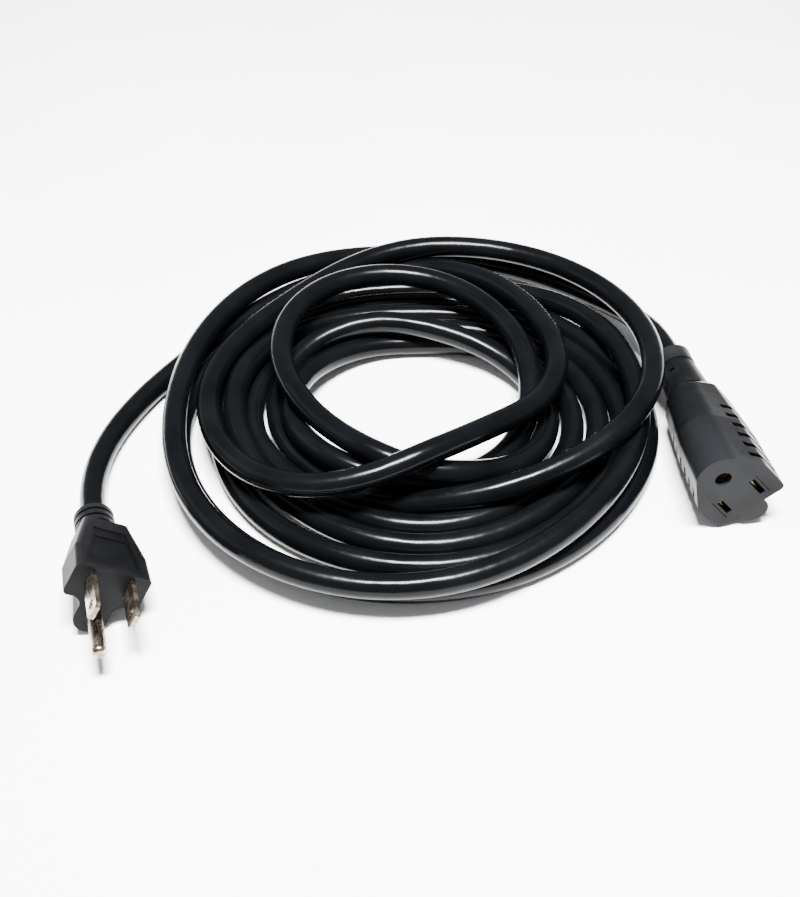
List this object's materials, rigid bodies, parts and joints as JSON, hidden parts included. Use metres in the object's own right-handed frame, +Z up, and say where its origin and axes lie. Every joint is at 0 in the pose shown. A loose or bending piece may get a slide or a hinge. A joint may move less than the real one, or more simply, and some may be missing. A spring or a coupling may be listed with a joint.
{
  "type": "extension cord",
  "caption": "Grounded indoor-outdoor extension cord: a round black cord in a loose coil on the floor, a moulded three-prong plug at one end and a moulded connector at the other.",
  "frame": {"origin": "on the floor, at the middle of the box around the plug and the connector", "axes": "+Z up from the floor; +X from the plug towards the connector; the faces of both ends look along -Y"},
  "size_m": [0.2406, 0.2152, 0.0321],
  "materials": {
    "plug_moulding": "satin black moulded PVC",
    "connector_moulding": "satin black moulded PVC",
    "cord_jacket": "semi-gloss black PVC jacket",
    "prong_metal": "bright folded brass, nickel washed",
    "contact_metal": "bare spring brass",
    "inner_block": "hard moulded block",
    "copper_strands": "bare copper strands",
    "neutral_insulation": "white core insulation",
    "line_insulation": "black core insulation",
    "ground_insulation": "green core insulation"
  },
  "bodies": {
    "root": {"plug_body": "plug_moulding", "plug_bridge": "inner_block", "plug_line_blade": "prong_metal", "plug_neutral_blade": "prong_metal", "plug_ground_pin": "prong_metal", "socket_body": "connector_moulding", "socket_carrier": "inner_block", "socket_line_contact": "contact_metal", "socket_neutral_contact": "contact_metal", "socket_ground_contact": "contact_metal", "plug_neutral_strands": "copper_strands", "plug_neutral_insulation": "neutral_insulation", "plug_line_strands": "copper_strands", "plug_line_insulation": "line_insulation", "plug_ground_strands": "copper_strands", "plug_ground_insulation": "ground_insulation", "plug_jacket_end": "cord_jacket", "socket_neutral_strands": "copper_strands", "socket_neutral_insulation": "neutral_insulation", "socket_line_strands": "copper_strands", "socket_line_insulation": "line_insulation", "socket_ground_strands": "copper_strands", "socket_ground_insulation": "ground_insulation", "socket_jacket_end": "cord_jacket", "cord_coil": "cord_jacket", "cord_plug_tail": "cord_jacket", "cord_socket_tail": "cord_jacket"}
  },
  "joints": []
}
